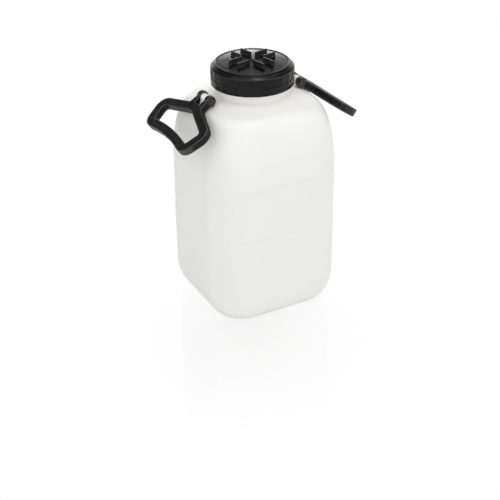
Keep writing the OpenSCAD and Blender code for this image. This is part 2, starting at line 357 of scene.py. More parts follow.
def loft(name, outline, levels, matrix):
    """A closed outline carried through levels of (height, offset), then put in place."""
    rows = []
    for height, offset in levels:
        rows.append([matrix @ Vector((p.x, p.y, height)) for p in moved(outline, offset)])
    return rows_object(name, rows, end_caps=True)


def edge_levels(low, high, radius, steps=4):
    """Levels that round both ends of a loft."""
    turns = [radians(90 * k / steps) for k in range(steps + 1)]
    round_off = [(radius * (1 - sin(t)), -radius * (1 - cos(t))) for t in turns]
    start = [(low + rise, offset) for rise, offset in reversed(round_off)]
    return start + [(high - rise, offset) for rise, offset in round_off]


def revolve(name, profile, count=192, push=None, matrix=None):
    """A closed profile of (radius, height) turned about Z; push moves points inwards."""
    rows = []
    for p in profile:
        if p.x < ON_AXIS:
            rows.append([Vector((0, 0, p.y))])
            continue
        row = []
        for k in range(count):
            t = 2 * pi * k / count
            r = p.x - (push(t, p.x, p.y) if push else 0)
            row.append(Vector((r * cos(t), r * sin(t), p.y)))
        rows.append(row)
    if matrix is not None:
        rows = [[matrix @ p for p in row] for row in rows]
    return rows_object(name, rows, join_rows=True)


def smoothstep(low, high, x):
    """A smooth rise from 0 to 1 between two values."""
    t = min(1.0, max(0.0, (x - low) / (high - low)))
    return t * t * (3 - 2 * t)


def join(objects, name):
    """One object from several; the first one's name and place are kept."""
    bpy.ops.object.select_all(action="DESELECT")
    for obj in objects:
        obj.select_set(True)
    bpy.context.view_layer.objects.active = objects[0]
    bpy.ops.object.join()
    objects[0].name = name
    return objects[0]


def apply(obj, kind, **settings):
    """Adds one modifier and applies it."""
    modifier = obj.modifiers.new(kind.title(), kind)
    for key, value in settings.items():
        setattr(modifier, key, value)
    bpy.context.view_layer.objects.active = obj
    bpy.ops.object.modifier_apply(modifier=modifier.name)


def helix_ridge(name, root_r, crest_r, start_z, turn):
    """A thread ridge with run-out at both ends."""
    steps = round(THREAD_TURNS * TURN_STEPS)
    half_root = THREAD_ROOT / 2
    rows = []
    for k in range(steps + 1):
        run = min(k, steps - k) / steps
        size = RUN_OUT_SIZE + (1 - RUN_OUT_SIZE) * smoothstep(0, RUN_OUT, run)
        angle = 2 * pi * k / TURN_STEPS + turn
        lift = start_z + LEAD * k / TURN_STEPS
        tip = root_r + (crest_r - root_r) * size
        flank = (tip * 2 + root_r) / 3
        half_crest = THREAD_CREST / 2 * size
        upper = [(tip, half_crest * CREST_NARROW), (flank, half_crest * CREST_WIDE),
                 (root_r, half_root)]
        profile = [(r, -z) for r, z in reversed(upper)] + upper
        rows.append([Vector((r * cos(angle), r * sin(angle), lift + z))
                     for r, z in profile])
    return rows_object(name, rows, end_caps=True)


def ridges(name, root_r, crest_r, start_z):
    """One ridge for each start of the thread."""
    return [helix_ridge(f"{name}_{i}", root_r, crest_r, start_z, 2 * pi * i / STARTS)
            for i in range(STARTS)]


# ------------------------ shader tools

MIX_FACTOR, MIX_A, MIX_B, MIX_RESULT = 0, 6, 7, 2  # colour sockets of a Mix node


def material(name, color, roughness, **inputs):
    """A Principled material; returns it with its tree and shader."""
    mat = bpy.data.materials.new(name)
    mat.use_nodes = True
    shader = mat.node_tree.nodes["Principled BSDF"]
    shader.inputs["Base Color"].default_value = (*color, 1)
    shader.inputs["Roughness"].default_value = roughness
    for key, value in inputs.items():
        shader.inputs[key.replace("_", " ")].default_value = value
    return mat, mat.node_tree, shader


def add(tree, kind, settings=None, **inputs):
    """A node with its settings and with fixed values on its inputs."""
    node = tree.nodes.new(kind)
    for key, value in (settings or {}).items():
        setattr(node, key, value)
    for key, value in inputs.items():
        node.inputs[key.replace("_", " ")].default_value = value
    return node


def feed(tree, socket, part):
    """Feeds an input from a socket, or sets it to a number."""
    if isinstance(part, (int, float)):
        socket.default_value = part
    else:
        tree.links.new(part, socket)


def math_node(tree, operation, *parts):
    """The result of a Math node on sockets or numbers."""
    node = add(tree, "ShaderNodeMath", {"operation": operation})
    for socket, part in zip(node.inputs, parts):
        feed(tree, socket, part)
    return node.outputs[0]


def product(tree, a, b):
    return math_node(tree, "MULTIPLY", a, b)


def largest(tree, a, b):
    return math_node(tree, "MAXIMUM", a, b)


def vector_node(tree, operation, vector, other=(0, 0, 0)):
    """The outputs of a Vector Math node on a socket and a fixed vector."""
    node = add(tree, "ShaderNodeVectorMath", {"operation": operation})
    node.inputs[1].default_value = other
    tree.links.new(vector, node.inputs[0])
    return node.outputs


def axes(tree, vector):
    """The X, Y and Z of a vector."""
    node = add(tree, "ShaderNodeSeparateXYZ")
    tree.links.new(vector, node.inputs[0])
    return node.outputs


def mix_shaders(tree, factor, first, second):
    """The first shader where the factor is 0, the second where it is 1."""
    node = add(tree, "ShaderNodeMixShader")
    for socket, part in zip(node.inputs, (factor, first, second)):
        feed(tree, socket, part)
    return node.outputs[0]


def blend_colors(tree, factor, a, b):
    """Blends two colours, each of them a fixed one or a socket."""
    node = add(tree, "ShaderNodeMix", {"data_type": "RGBA"})
    tree.links.new(factor, node.inputs[MIX_FACTOR])
    for slot, color in ((MIX_A, a), (MIX_B, b)):
        if isinstance(color, tuple):
            node.inputs[slot].default_value = (*color, 1)
        else:
            tree.links.new(color, node.inputs[slot])
    return node.outputs[MIX_RESULT]


def ramp(tree, value, low, high, out_low, out_high):
    """Maps a value's stretch from low to high onto the two outputs, and stops there."""
    node = add(tree, "ShaderNodeMapRange", From_Min=low, From_Max=high, To_Min=out_low,
               To_Max=out_high)
    tree.links.new(value, node.inputs["Value"])
    return node.outputs["Result"]


def noise(tree, scale, detail=3.0, roughness=0.5, stretch=(1, 1, 1)):
    """Noise over the object's own coordinates, in metres."""
    coords = add(tree, "ShaderNodeTexCoord")
    mapping = add(tree, "ShaderNodeMapping", Scale=stretch)
    texture = add(tree, "ShaderNodeTexNoise", Scale=scale, Detail=detail, Roughness=roughness)
    tree.links.new(coords.outputs["Object"], mapping.inputs["Vector"])
    tree.links.new(mapping.outputs["Vector"], texture.inputs["Vector"])
    return texture.outputs["Fac"]


def bump(tree, shader, layers, strength):
    """Chains one bump node for each layer of (height, depth in metres)."""
    normal = None
    for height, depth in layers:
        node = add(tree, "ShaderNodeBump", Strength=strength, Distance=depth)
        tree.links.new(height, node.inputs["Height"])
        if normal is not None:
            tree.links.new(normal, node.inputs["Normal"])
        normal = node.outputs["Normal"]
    tree.links.new(normal, shader.inputs["Normal"])


# ------------------------ materials

# Natural plastic; the scatter scale and all depths of this section are in metres
MILKY = (0.86, 0.85, 0.82)
MILKY_DEEP = (0.860, 0.850, 0.800)
MILKY_THIN = (0.878, 0.868, 0.824)
MILKY_ROUGHNESS = 0.42
SATIN_RANGE = (0.37, 0.47)
SCATTER_COLOR = (1.0, 0.95, 0.85)
SCATTER_SCALE = 0.009
SKIN_DEPTH = 0.00002
WAVE_DEPTH = 0.00008

# Black plastics
CAP_BLACK = (0.0032, 0.0032, 0.0036)
CAP_GRAIN_DEPTH = 0.00001
HANDLE_BLACK = (0.0034, 0.0034, 0.0036)
PIN_GREY = (0.034, 0.031, 0.028)
HANDLE_GRAIN_DEPTH = 0.00002
DUST_FACTOR = 2.1  # a dusty patch is the base colour times this
DUST_PLUS = 0.001  # and plus this
ROUGHNESS_BELOW = 0.05  # patches reach so far below and above the base roughness
ROUGHNESS_ABOVE = 0.09

# Painted highlights on the cap: height, half width and strength of the grey lines painted on its
# ring edges
HIGHLIGHT_RINGS = ((CAP_TOP - CHAMFER, 0.8, 1.0), (CAP_TOP - CHAMFER / 2 - 0.6, 0.4, 0.6),
              (CAP_TOP - 0.3, 0.5, 1.0))
HIGHLIGHT_GREY = (0.050, 0.050, 0.051)
# Painted light on the upright faces of the cap's grip walls: its grey, and the heights where it
# starts, is full and fades
WALL_LIGHT_GREY = (0.030, 0.030, 0.031)
WALL_LIGHT_START = 1  # heights above the rim
WALL_LIGHT_FULL = 1.5
WALL_LIGHT_FADE = 4
WALL_LIGHT_LEFT = 0.35  # share of the painted light at the top of the grip walls
PLATE_SOFTNESS = 0.4

# Painted light and gloss of the handles
SHADED_RECESS_BLACK = (0.007, 0.007, 0.007)
LIT_SIDE_BLACK = (0.050, 0.050, 0.050)
# Painted highlights: the grey of the handles' sharp edges
EDGE_HIGHLIGHT_GREY = (0.075, 0.075, 0.074)
SIDE_ROUGHNESS = 0.15
SIDE_COSINES = (0.70, 0.93)  # to the flat faces: matte and painted lighter below the first, polished above
RIM_BAND = RECESS_FLANGE - 0.1  # width of the matte rims beside the recess, which are painted lighter
RIM_SOFTNESS = 0.4
END_SOFTNESS = (-4, 2)  # from RECESS_TO
# pointiness over which the painted edge highlight comes in
HIGHLIGHT_POINTINESS = (0.515, 0.57)

# Seal
SEAL_GREY = (0.30, 0.30, 0.29)
SEAL_DARK = (0.26, 0.26, 0.25)
SEAL_LIGHT = (0.34, 0.34, 0.33)
SPECK_DEPTH = 0.00004


def natural_plastic():
    """Blow-moulded natural polyethylene: milky, satin, with faint flow and a fine skin."""
    mat, tree, shader = material("natural_plastic", MILKY, MILKY_ROUGHNESS, Subsurface_Weight=0.5,
                                 Subsurface_Scale=SCATTER_SCALE, IOR=1.5)
    shader.inputs["Subsurface Radius"].default_value = SCATTER_COLOR
    cloud = noise(tree, scale=7, detail=4, stretch=(1, 1, 0.35))
    tree.links.new(blend_colors(tree, cloud, MILKY_DEEP, MILKY_THIN), shader.inputs["Base Color"])
    satin = ramp(tree, noise(tree, scale=30, detail=5), 0.3, 0.7, *SATIN_RANGE)
    tree.links.new(satin, shader.inputs["Roughness"])
    skin = noise(tree, scale=900, detail=2)
    waves = noise(tree, scale=60, detail=2)
    bump(tree, shader, [(skin, SKIN_DEPTH), (waves, WAVE_DEPTH)], strength=0.5)
    return mat


def black_plastic(name, base, roughness, grain, grain_depth, paint_light_and_gloss=None):
    """Injection-moulded black: fine grain, a little dust and rubbed gloss in patches.

    The last argument takes the tree, the colour and the roughness and returns the last two,
    changed; it paints highlights and light into the colour.
    """
    mat, tree, shader = material(name, base, roughness, Specular_IOR_Level=0.2)
    patches = noise(tree, scale=45, detail=6, roughness=0.6)
    dusty = tuple(c * DUST_FACTOR + DUST_PLUS for c in base)
    color = blend_colors(tree, ramp(tree, patches, 0.35, 0.8, 0, 1), base, dusty)
    gloss = ramp(tree, patches, 0.3, 0.7, roughness - ROUGHNESS_BELOW,
                 roughness + ROUGHNESS_ABOVE)
    if paint_light_and_gloss is not None:
        color, gloss = paint_light_and_gloss(tree, color, gloss)
    tree.links.new(color, shader.inputs["Base Color"])
    tree.links.new(gloss, shader.inputs["Roughness"])
    bump(tree, shader, [(noise(tree, scale=grain, detail=2), grain_depth)], strength=0.6)
    return mat


def paint_cap_light(tree, color, gloss):
    """Paints highlights as grey lines on the cap's ring edges and painted light on the upright
    faces of its grip walls, both unevenly.
    """
    coords = add(tree, "ShaderNodeTexCoord")
    height = axes(tree, coords.outputs["Object"])["Z"]
    # Painted highlights: a thin grey ring at each edge height, outside the plate, in patches
    highlight_lines = None
    for z, half, strength in HIGHLIGHT_RINGS:
        below = ramp(tree, height, (z - half) * MM, z * MM, 0, 1)
        above = ramp(tree, height, z * MM, (z + half) * MM, 1, 0)
        ring = ramp(tree, product(tree, below, above), 0.0, 0.8, 0, strength)
        highlight_lines = ring if highlight_lines is None else largest(tree, highlight_lines, ring)
    level = vector_node(tree, "MULTIPLY", coords.outputs["Object"], (1, 1, 0))["Vector"]
    radius = vector_node(tree, "LENGTH", level)["Value"]
    outside = ramp(tree, radius, (PLATE_R - PLATE_SOFTNESS) * MM, PLATE_R * MM, 0, 1)
    patches = ramp(tree, noise(tree, scale=28, detail=3), 0.35, 0.65, 0.45, 1)
    highlighted = product(tree, product(tree, highlight_lines, outside), patches)
    color = blend_colors(tree, highlighted, color, HIGHLIGHT_GREY)

    # Painted light: the upright faces above the rim, the grip walls, are coloured lighter, in
    # patches
    facing_up = math_node(tree, "ABSOLUTE", axes(tree, coords.outputs["Normal"])["Z"])
    steep = ramp(tree, facing_up, 0.3, 0.7, 1, 0)
    below = ramp(tree, height, (CAP_TOP + WALL_LIGHT_START) * MM, (CAP_TOP + WALL_LIGHT_FULL) * MM, 0, 1)
    above = ramp(tree, height, (CAP_TOP + WALL_LIGHT_FADE) * MM, GRIP_TOP * MM, 1, WALL_LIGHT_LEFT)
    wall_light = product(tree, product(tree, product(tree, below, above), steep), patches)
    return blend_colors(tree, wall_light, color, WALL_LIGHT_GREY), gloss


def paint_handle_light(tree, color, gloss):
    """Leaves the flat faces of a handle polished and its sides matte, paints light on the sides,
    weaker in the recess as painted shade, and paints highlights on its edges.
    """
    slope = tan(radians(HANDLE_TILT))
    upright = cos(radians(HANDLE_TILT))
    coords = add(tree, "ShaderNodeTexCoord")
    place = axes(tree, coords.outputs["Object"])
    normal = axes(tree, coords.outputs["Normal"])
    outward = math_node(tree, "ABSOLUTE", place["X"])

    # How far the surface faces as the flat faces do, over upright
    normal_out = product(tree, math_node(tree, "SIGN", place["X"]), normal["X"])
    facing = math_node(tree, "MULTIPLY_ADD", normal_out, slope, normal["Z"])
    on_side, on_face = (cosine / upright for cosine in SIDE_COSINES)
    side = ramp(tree, math_node(tree, "ABSOLUTE", facing), on_side, on_face, 1, 0)

    # Distance from the handle's middle plane, over upright, marks the rims of the recess
    plane = math_node(tree, "ADD", place["Z"], -(HINGE_Z + HINGE_X * slope) * MM)
    above = math_node(tree, "MULTIPLY_ADD", outward, slope, plane)
    flange = HANDLE_T / 2 - RIM_BAND
    low, high = ((flange + d) / upright * MM for d in (-RIM_SOFTNESS, RIM_SOFTNESS))
    rim = ramp(tree, math_node(tree, "ABSOLUTE", above), low, high, 0, 1)

    # Distance from the hinge along the handle, over upright, marks where the recess ends
    start = (HINGE_X - HINGE_Z * slope) * MM
    lowered = math_node(tree, "MULTIPLY_ADD", place["Z"], slope, start)
    along = math_node(tree, "MULTIPLY_ADD", lowered, -1, outward)
    low, high = ((RECESS_TO + d) / upright * MM for d in END_SOFTNESS)
    end = ramp(tree, along, low, high, 0, 1)

    # Painted light: the upright sides are coloured lighter, except in the band of the recess, which
    # stays darker as painted shade
    painted_side_light = blend_colors(tree, largest(tree, rim, end), SHADED_RECESS_BLACK, LIT_SIDE_BLACK)
    color = blend_colors(tree, side, color, painted_side_light)
    # Painted highlights: the sharp edges are coloured grey, in patches
    shape = add(tree, "ShaderNodeNewGeometry")
    edge = ramp(tree, shape.outputs["Pointiness"], *HIGHLIGHT_POINTINESS, 0, 1)
    patches = ramp(tree, noise(tree, scale=60), 0.3, 0.7, 0.3, 1)
    color = blend_colors(tree, product(tree, edge, patches), color, EDGE_HIGHLIGHT_GREY)
    return color, math_node(tree, "MULTIPLY_ADD", side, SIDE_ROUGHNESS, gloss)


def seal_rubber():
    """Grey rubber with fine dark and light specks."""
    mat, tree, shader = material("seal_rubber", SEAL_GREY, 0.75)
    speck = noise(tree, scale=1500, detail=3)
    tree.links.new(blend_colors(tree, speck, SEAL_DARK, SEAL_LIGHT), shader.inputs["Base Color"])
    bump(tree, shader, [(speck, SPECK_DEPTH)], strength=0.6)
    return mat


# ------------------------ drum

BLEND_PULL = 0.72  # how strongly the blend follows the shoulder
NECK_PULL = 0.62  # and how strongly the neck


def square_reach(half, radius, angle):
    """Distance from the centre to a rounded square at a polar angle."""
    c, s = abs(cos(angle)), abs(sin(angle))
    straight = half - radius
    if half * min(c, s) / max(c, s) <= straight:
        return half / max(c, s)
    along = straight * (c + s)
    return along + sqrt(max(0.0, along * along - 2 * straight * straight + radius * radius))


def square_row(half, radius, z):
    """Points round a rounded square at a height."""
    row = []
    for k in range(RING):
        t = 2 * pi * k / RING
        reach = square_reach(half, radius, t)
        row.append(Vector((reach * cos(t), reach * sin(t), z)))
    return row


def circle_row(radius, z):
    return square_row(radius, radius, z)


def shoulder_share(z, top):
    """How far the drum still reaches out at a height of the shoulder, from 1 down to 0."""
    s = min(1.0, max(0.0, (z - SHOULDER_Z) / (top - SHOULDER_Z)))
    return (1 - s ** SHOULDER_POWER) ** (1 / SHOULDER_POWER)


def band_cut(z):
    """Depth of the shallow band round the drum at a height."""
    rise = smoothstep(BAND_LOW - BAND_RAMP, BAND_LOW, z)
    return BAND_DEPTH * min(rise, smoothstep(BAND_HIGH + BAND_RAMP, BAND_HIGH, z))


def skin_row(z, inset):
    """The drum's skin, or the face inset mm inside it, at one height of wall or shoulder."""
    share = shoulder_share(z, SHOULDER_TOP - inset)
    cut_in = inset + band_cut(z)
    return square_row(TOP_R + (HALF_W - TOP_R) * share - cut_in,
                      TOP_R + (CORNER_R - TOP_R) * share - cut_in, z)


def steps_between(low, high, step):
    """Even steps of about the given size, from low up to the last before high."""
    count = max(1, round((high - low) / step))
    return [low + (high - low) * k / count for k in range(count)]


def skin_rows(inset, fine):
    """Rows from the edge of the base up to the flat top of the shoulder."""
    rows = []
    for k in range(fine + 1):
        t = radians(90 * k / fine)
        cut_in = inset + FOOT_IN * (1 - sin(t))
        z = inset + (FOOT_H - inset) * (1 - cos(t))
        rows.append(square_row(HALF_W - cut_in, CORNER_R - cut_in, z))
    heights = steps_between(FOOT_H + FOOT_GAP, BAND_LOW - BAND_RAMP, WALL_STEP)
    heights += steps_between(BAND_LOW - BAND_RAMP, BAND_LOW, BAND_RAMP / BAND_STEPS)
    heights += steps_between(BAND_LOW, BAND_HIGH, WALL_STEP)
    heights += steps_between(BAND_HIGH, BAND_HIGH + BAND_RAMP, BAND_RAMP / BAND_STEPS)
    heights.append(BAND_HIGH + BAND_RAMP)
    rise = SHOULDER_TOP - inset - SHOULDER_Z
    for k in range(2 * fine):
        t = radians(SHOULDER_FROM + SHOULDER_SWEEP * k / (2 * fine - 1))
        z = SHOULDER_Z + rise * sin(t) ** (2 / SHOULDER_POWER)
        if z > BAND_HIGH + 1.5 * BAND_RAMP:
            heights.append(z)
    return rows + [skin_row(z, inset) for z in heights]


def cubic(t, first, first_pull, last_pull, last):
    """A point of a curve between two points, each with a point that pulls the curve."""
    s = 1 - t
    return first * s ** 3 + first_pull * 3 * t * s ** 2 + last_pull * 3 * t * t * s + last * t ** 3


def neck_blend(before, start):
    """Rows that carry the shoulder smoothly into the neck, each column on its own curve."""
    last = Vector((NECK_R, SHOULDER_TOP + NECK_FILLET + 1))
    last_pull = last - Vector((0, 1)) * NECK_FILLET * NECK_PULL
    rows = []
    for k in range(1, BLEND_STEPS + 1):
        row = []
        for lower, edge in zip(before, start):
            first = Vector((edge.to_2d().length, edge.z))
            slope = unit(first - Vector((lower.to_2d().length, lower.z)))
            first_pull = first + slope * (first.x - NECK_R) * BLEND_PULL
            point = cubic(k / BLEND_STEPS, first, first_pull, last_pull, last)
            row.append(unit(Vector((edge.x, edge.y, 0))) * point.x + Vector((0, 0, point.y)))
        rows.append(row)
    return rows


def make_drum():
    """The drum as one shell: skin, neck, bore and inner face."""
    outside = [[Vector((0, 0, BASE_DISH))]]
    outside += [square_row(half, radius, BASE_DISH * share) for half, radius, share in BASE_RINGS]
    outside += skin_rows(0, OUTER_STEPS)
    fillet = neck_blend(outside[-2], outside[-1])
    bore, under = NECK_R - NECK_T, SHOULDER_TOP - WALL
    lip = rounded([(NECK_R, SHOULDER_TOP + LIP_FROM, 0), (NECK_R, NECK_TOP, LIP_R),
                   (bore, NECK_TOP, LIP_R), (bore, under, BORE_FILLET),
                   (bore + 4 * BORE_FILLET, under, 0)], closed=False)
    neck = [circle_row(p.x, p.y) for p in lip[:-1]]
    inside = list(reversed(skin_rows(WALL, INNER_STEPS)))
    inside += [square_row(*INNER_FLOOR, BASE_DISH + WALL), [Vector((0, 0, BASE_DISH + WALL))]]
    return rows_object("drum_shell", outside + fillet + neck + inside)


def hinge_turn(side):
    """From a profile about Z to the hinge axis, with +Z turned to -Y."""
    turn = Matrix.Rotation(radians(90), 4, "X")
    return Matrix.Translation((side * HINGE_X, 0, HINGE_Z)) @ turn


def foot_corners(side, start, end):
    """Corners from a side of the eye down a lug's flared foot into the shoulder."""
    top = SHOULDER_TOP - HINGE_Z
    points = [(EYE_R, 0, 0), (EYE_R + start[0], top - start[1], LUG_FLARE),
              (EYE_R + end[0], top - end[1], 0), (EYE_R + end[0], top - LUG_SINK, 0)]
    return [(side * x, y, radius) for x, y, radius in points]


def make_lug(side):
    """A lug whose flared foot runs into the shoulder."""
    turns = [radians(t) for t in range(-10, 191, 10)]
    outline = [Vector((EYE_R * cos(t), EYE_R * sin(t))) for t in turns]
    outline += rounded(foot_corners(-1, *LUG_INNER_FOOT), closed=False)[1:]
    outline += rounded(foot_corners(1, *LUG_OUTER_FOOT)[::-1], closed=False)[:-1]
    matrix = hinge_turn(1)
    if side < 0:
        matrix = Matrix.Scale(-1, 4, (1, 0, 0)) @ matrix
    name = "left_lug" if side < 0 else "right_lug"
    return loft(name, outline, edge_levels(-LUG_HALF, LUG_HALF, LUG_EDGE), matrix)


def make_body():
    """The drum's shell, its two lugs and the neck's thread, as one piece."""
    parts = [make_drum(), make_lug(-1), make_lug(1)]
    midway = LEAD / STARTS / 2  # the neck's ridges run between those of the cap
    parts += ridges("neck_thread", NECK_R - THREAD_SINK, NECK_R + THREAD_DEPTH, THREAD_Z + midway)
    return join(parts, "drum")


# ------------------------ finish of a piece

SHARP_TURN = radians(32)


def mark_sharp(obj):
    """Keeps edges crisp in the shading where the surface turns by more than SHARP_TURN."""
    work = bmesh.new()
    work.from_mesh(obj.data)
    for edge in work.edges:
        if len(edge.link_faces) == 2 and edge.calc_face_angle(0) > SHARP_TURN:
            edge.smooth = False
    work.to_mesh(obj.data)
    work.free()


def finish_piece(obj, name, body, nodes, mat):
    """Names a piece, gives it its material, keeps its sharp edges crisp, ties it to its body and
    hides the CAD nodes that it replaces.
    """
    obj.name = obj.data.name = name
    obj.data.materials.clear()
    obj.data.materials.append(mat)
    mark_sharp(obj)
    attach(obj, body)
    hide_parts(*nodes)


# ------------------------ cap

def panel_push(angle, radius, z):
    """Depth of the grip panels at a point of the skirt."""
    if radius < CAP_R - SKIN_MARGIN:
        return 0
    along = (angle / (2 * pi) * PANELS) % 1 - 0.5
    across = abs(along) * 2 * pi * CAP_R / PANELS
    bottom, top = PANEL_Z, PANEL_Z + PANEL_H
    side = 1 - smoothstep(PANEL_W / 2 - PANEL_EDGE, PANEL_W / 2 + PANEL_EDGE, across)
    low = smoothstep(bottom - PANEL_EDGE, bottom + PANEL_EDGE, z - CAP_Z)
    high = 1 - smoothstep(top - PANEL_EDGE, top + PANEL_EDGE, z - CAP_Z)
    return PANEL_DEPTH * side * low * high


def dome_z(r):
    """Height of the plate at a distance from its centre."""
    return CAP_TOP - PLATE_DROP + PLATE_DOME * (1 - (r / PLATE_R) ** 2)


def make_cap_shell():
    """Skirt with its panels, stepped chamfer, rim and domed plate, and the cap's inside."""
    middle = CHAMFER / 2
    step = [(CAP_R - middle + out, CAP_TOP - middle + up, FINE_EDGE) for out, up in CHAMFER_STEP]
    first_row, last_row = (CAP_Z + row for row in SKIRT_INNER_ROWS)
    corner = rounded([(CAP_IN_R, first_row, 0), (CAP_IN_R, CAP_Z, SKIRT_EDGES[0]),
                      (CAP_R, CAP_Z, SKIRT_EDGES[1]), (CAP_R, CAP_TOP - CHAMFER, CHAMFER_EDGE),
                      *step, (RIM_R, CAP_TOP, RIM_EDGE),
                      (PLATE_R + PLATE_SLOPE, CAP_TOP, FINE_EDGE),
                      (PLATE_R, dome_z(PLATE_R), FINE_EDGE),
                      (PLATE_R - 3, dome_z(PLATE_R - 3), 0)], closed=False)
    split = next(i for i, p in enumerate(corner) if p.y > CAP_Z + CAP_H / 2)
    low, high = corner[split - 1].y, corner[split].y
    rows = [PANEL_Z + start + PANEL_EDGE * k for start in (0, PANEL_H) for k in range(-2, 3)]
    levels = sorted(CAP_Z + row for row in (*rows, *SKIRT_ROWS))
    skirt = [Vector((CAP_R, z)) for z in levels if low < z < high]
    plate = [Vector((r, dome_z(r))) for r in PLATE_ROWS]
    under = rounded([*((r, PLATE_UNDER, 0) for r in UNDER_ROWS),
                     (CAP_IN_R, PLATE_UNDER, UNDER_EDGE), (CAP_IN_R, last_row, 0)], closed=False)
    profile = corner[:split] + skirt + corner[split:] + plate + under
    return revolve("cap_shell", profile, CAP_COLUMNS, panel_push)


def make_grip_wall(index, mirrored):
    """A straight wall on one side of an arm of the cross, with rounded ends."""
    half = GRIP_T / 2
    plate = dome_z(GRIP_R * 0.6)
    inner, outer = GRIP_START + half, GRIP_R - half
    turns = [radians(t) for t in GRIP_ENDS]
    stations = [(inner - half * sin(t), cos(t)) for t in turns]
    stations += [(inner + (outer - inner) * k / GRIP_STEPS, 1) for k in range(GRIP_STEPS + 1)]
    stations += [(outer + half * sin(t), cos(t)) for t in reversed(turns)]

    side = [(half + GRIP_FLARE[0][0], CAP_TOP - PLATE_DROP - GRIP_SINK)]
    side += [(half + out, plate + up) for out, up in GRIP_FLARE]
    side += [(half, z) for z in (plate + 3, GRIP_TOP - 3)]
    side += [(half - GRIP_ROUND * (1 - cos(t)), GRIP_TOP - GRIP_ROUND * (1 - sin(t)))
             for t in (radians(22.5 * k) for k in range(5))]
    section = side + [(-w, z) for w, z in reversed(side)]

    matrix = Matrix.Rotation(radians(GRIP_TURN + 90 * index), 4, "Z")
    rows = []
    for along, width in stations:
        row = [(along, GRIP_OFFSET - w * width, z) for w, z in section]
        rows.append([matrix @ Vector((y, x, z) if mirrored else (x, y, z)) for x, y, z in row])
    return rows_object(f"grip_wall_{index}", rows[::-1] if mirrored else rows, end_caps=True)


def make_pip():
    """A small domed pip on the middle of the plate."""
    plate = dome_z(0)
    foot, start = PIP_R + PIP_FLARE, plate + PIP_EDGE
    points = [(0, plate - PIP_SINK), (foot, plate - PIP_SINK), (foot, plate - 0.1), (PIP_R, start)]
    points += [(PIP_R * cos(t), start + (PIP_R - PIP_EDGE) * sin(t))
               for t in (radians(15 * k) for k in range(1, 6))]
    points.append((0, plate + PIP_R))
    return revolve("cap_pip", [Vector(p) for p in points], 32)


def make_cap():
    """The cap's shell, the cross of eight walls, the pip and the inner thread, as one piece."""
    parts = [make_cap_shell()]
    parts += [make_grip_wall(index, side) for index in range(4) for side in (False, True)]
    parts.append(make_pip())
    parts += ridges("cap_thread", CAP_IN_R + THREAD_SINK, CAP_IN_R - THREAD_DEPTH, THREAD_Z)
    return join(parts, "cap")


# ------------------------ handles

def bar_path():
    """Middle line of the bar in the handle's plane: x out from the hinge, y along it."""
    half = [(*corner, radius) for corner, radius in zip((YOKE, WIDE, GRIP), BEND_RADII)]
    corners = [(x, -y, r) for x, y, r in half]
    corners += [(GRIP[0] - GRIP_BOW, 0, BOW_R)]
    corners += [(x, y, r) for x, y, r in reversed(half)]
    return evenly(rounded(corners, BEND_STEPS), BAR_STEP)


def recess_share(p):
    """How much of the recess outside the arms is cut at a point of the middle line, 0 to 1."""
    corner = Vector(WIDE)
    inward = unit(unit(Vector(GRIP) - corner) + unit(Vector(YOKE) - corner))
    off = Vector((p.x, abs(p.y))) - corner
    rib = 1 - smoothstep(RIB_T / 2 - RIB_SOFT, RIB_T / 2 + RIB_SOFT, abs(off.cross(inward)))
    from_yoke = smoothstep(RECESS_FROM - RECESS_SOFT, RECESS_FROM + RECESS_SOFT, abs(p.y))
    to_grip = 1 - smoothstep(RECESS_TO - RECESS_SOFT, RECESS_TO + RECESS_SOFT, p.x)
    return from_yoke * to_grip * (1 - rib)


def groove_share(p):
    """How much of the grooves on the grip is cut at a point of the middle line, 0 to 1."""
    bow = GRIP[0] - GRIP_BOW
    out = smoothstep(bow - GROOVE_BOW[0], bow - GROOVE_BOW[1], p.x)
    return out * (1 - smoothstep(GRIP[1] - GROOVE_END[0], GRIP[1] - GROOVE_END[1], abs(p.y)))


def make_bar(name):
    """The closed loop of the handle, with its recess and the grooves on its grip."""
    path = bar_path()
    out = normals(path)
    depths = [RECESS_DEPTH * recess_share(p) for p in path]
    grooved = [GROOVE_DEPTH * groove_share(p) for p in path]
    half_w, half_t = BAR_W / 2, HANDLE_T / 2
    flange = half_t - RECESS_FLANGE
    corners = [(-half_w, -half_t), (half_w, -half_t), (half_w, half_t), (-half_w, half_t)]
    section = evenly(rounded([(x, y, BAR_EDGE) for x, y in corners], 6), SECTION_STEP)
    rows = []
    for s in section:
        inside = 1 - smoothstep(flange - FLANGE_SOFT, flange + FLANGE_SOFT, abs(s.y))
        outermost = s.x > half_w - 0.3
        on_top = s.y > half_t - 0.4 and abs(s.x) < GROOVE_REACH
        groove = max(0, cos(2 * pi * s.x / GROOVE_PITCH)) if on_top else 0
        row = []
        for p, n, depth, groove_depth in zip(path, out, depths, grooved):
            a = s.x - (depth * inside if outermost else 0)
            row.append(Vector((p.x + n.x * a, p.y + n.y * a, s.y - groove * groove_depth)))
        rows.append(row)
    return rows_object(name, rows, join_rows=True)


